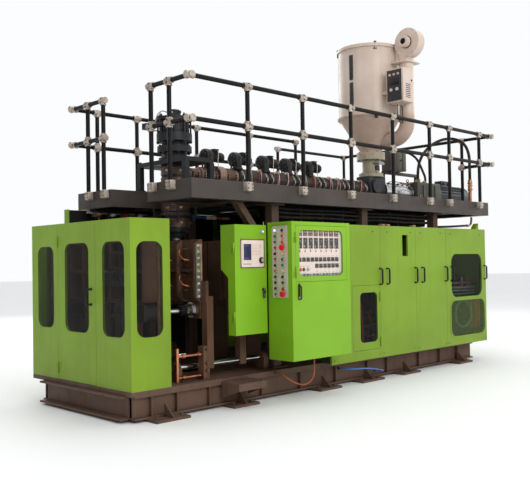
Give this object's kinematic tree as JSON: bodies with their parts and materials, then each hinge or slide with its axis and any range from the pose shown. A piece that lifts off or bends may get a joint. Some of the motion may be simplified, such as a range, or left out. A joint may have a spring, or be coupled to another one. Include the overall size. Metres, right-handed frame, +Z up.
{
  "type": "blow moulding machine",
  "caption": "Plastic blow moulding machine: guarded clamp and cabinets below a railed deck that carries an extruder, die head and hopper dryer.",
  "frame": {"origin": "on the floor under the vertical axis of the die head", "axes": "+X along the extruder from the die head to the motor, +Y to the rear, +Z up"},
  "size_m": [7.465, 3.364, 4.7229],
  "materials": {
    "frame_paint": "satin, dusty and worn",
    "deck_paint": "satin",
    "deck_floor": "worn chequered plate",
    "rail_black": "gloss",
    "rail_joint": "matt, moulded",
    "green_paint": "gloss powder coat",
    "dark_green": "satin",
    "black_plastic": "matt",
    "brown_casting": "rough, oily",
    "dark_steel": "heat stained",
    "chrome": "polished",
    "bright_steel": "machined",
    "copper": "tarnished",
    "head_black": "oily",
    "tan_cover": "heat stained",
    "grey_cover": "satin",
    "grey_green": "satin",
    "motor_paint": "satin",
    "blower_black": "satin",
    "cream_paint": "gloss",
    "dryer_slate": "satin",
    "panel_white": "matt",
    "panel_grey": "satin",
    "red_plastic": "gloss",
    "mesh": "expanded sheet",
    "hose_black": "matt",
    "cable_red": "matt",
    "hose_blue": "satin"
  },
  "bodies": {
    "machine": {"base_frame": "frame_paint", "bed_plate": "frame_paint", "deck_columns": "frame_paint", "deck_frame": "deck_paint", "deck_plate": "deck_floor", "rail_joints": "rail_joint", "rail_pipes": "rail_black", "guard_panels": "green_paint", "guide_bars": "chrome", "clamp_castings": "brown_casting", "clamp_cylinders": "dark_steel", "water_pipes": "copper", "head_bridge": "head_black", "die_head": "head_black", "head_drum": "head_black", "adapter_cover": "tan_cover", "barrel_cover": "grey_cover", "barrel_stands": "deck_paint", "feed_casting": "grey_green", "feed_collar": "grey_green", "drive_coupling": "chrome", "gearbox": "grey_green", "motor": "motor_paint", "blowers": "blower_black", "dryer_hopper": "cream_paint", "dryer_blower": "cream_paint", "dryer_box": "dryer_slate", "cover_frame": "dark_green", "power_unit": "dark_green", "side_covers": "green_paint", "cover_handles": "black_plastic", "mesh_grille": "mesh", "cabinet_shell": "green_paint", "button_panel": "panel_grey", "control_box": "green_paint", "hinge_halves": "dark_steel", "hose_arch": "hose_black", "dryer_cable": "hose_black", "cabinet_cable": "cable_red", "floor_hose": "hose_blue"},
    "guard_door_body": {"guard_door": "green_paint", "guard_door_handle": "black_plastic"},
    "left_clamp": {"left_platen": "brown_casting", "left_rods": "chrome", "manifold_strip": "bright_steel"},
    "right_clamp": {"right_platen": "brown_casting"},
    "die_pin_body": {"die_pin": "bright_steel"},
    "screw_body": {"screw": "bright_steel"},
    "motor_fan_body": {"motor_fan": "black_plastic"},
    "slide_gate_body": {"slide_gate": "bright_steel"},
    "dryer_lid_body": {"dryer_lid": "cream_paint"},
    "access_door_body": {"access_door": "green_paint"},
    "cabinet_door_body": {"cabinet_door": "green_paint", "instrument_panel": "panel_white"},
    "control_door_body": {"control_box_door": "green_paint", "control_panel": "panel_white"},
    "control_knob_body": {"control_knob": "black_plastic"},
    "control_lock_body": {"control_lock": "black_plastic"},
    "estop_upper_body": {"estop_upper": "red_plastic"},
    "estop_lower_body": {"estop_lower": "red_plastic"}
  },
  "joints": [
    {"name": "guard_door_hinge", "type": "hinge", "parent": "machine", "child": "guard_door_body", "pos_m": [-1.348, 0.2485, 1], "axis": [0, 0, -1], "range_deg": [0, 100]},
    {"name": "left_platen_slide", "type": "slide", "parent": "machine", "child": "left_clamp", "axis": [1, 0, 0], "range_m": [-0.1, 0.1]},
    {"name": "right_platen_slide", "type": "slide", "parent": "machine", "child": "right_clamp", "axis": [1, 0, 0], "range_m": [-0.1, 0.1]},
    {"name": "die_pin_slide", "type": "slide", "parent": "machine", "child": "die_pin_body", "axis": [0, 0, 1], "range_m": [-0.03, 0.01]},
    {"name": "screw_turn", "type": "hinge", "parent": "machine", "child": "screw_body", "pos_m": [2, 0, 2.485], "axis": [1, 0, 0], "continuous": true},
    {"name": "motor_fan_turn", "type": "hinge", "parent": "machine", "child": "motor_fan_body", "pos_m": [5.95, 0, 2.485], "axis": [1, 0, 0], "continuous": true},
    {"name": "slide_gate_slide", "type": "slide", "parent": "machine", "child": "slide_gate_body", "axis": [0, -1, 0], "range_m": [0, 0.15]},
    {"name": "dryer_lid_hinge", "type": "hinge", "parent": "machine", "child": "dryer_lid_body", "pos_m": [3.62, 0.492, 4.528], "axis": [-1, 0, 0], "range_deg": [0, 95]},
    {"name": "access_door_hinge", "type": "hinge", "parent": "machine", "child": "access_door_body", "pos_m": [2.167, -1.221, 0.8], "axis": [0, 0, 1], "range_deg": [0, 110]},
    {"name": "cabinet_door_hinge", "type": "hinge", "parent": "machine", "child": "cabinet_door_body", "pos_m": [0.37, -1.521, 1.5], "axis": [0, 0, -1], "range_deg": [0, 110]},
    {"name": "control_door_hinge", "type": "hinge", "parent": "machine", "child": "control_door_body", "pos_m": [-0.1585, -1.153, 1.25], "axis": [0, 0, -1], "range_deg": [0, 105]},
    {"name": "control_knob_turn", "type": "hinge", "parent": "control_door_body", "child": "control_knob_body", "pos_m": [0.212, -1.18, 1.472], "axis": [0, -1, 0], "range_deg": [-150, 150]},
    {"name": "control_lock_turn", "type": "hinge", "parent": "control_door_body", "child": "control_lock_body", "pos_m": [0.24, -1.17, 1.168], "axis": [0, 1, 0], "range_deg": [0, 90]},
    {"name": "estop_upper_press", "type": "slide", "parent": "machine", "child": "estop_upper_body", "axis": [1, 0, 0], "range_m": [0, 0.006]},
    {"name": "estop_lower_press", "type": "slide", "parent": "machine", "child": "estop_lower_body", "axis": [1, 0, 0], "range_m": [0, 0.006]}
  ],
  "couplings": [
    {"joint": "right_platen_slide", "follows": "left_platen_slide", "ratio": -1},
    {"joint": "motor_fan_turn", "follows": "screw_turn", "ratio": 14}
  ]
}
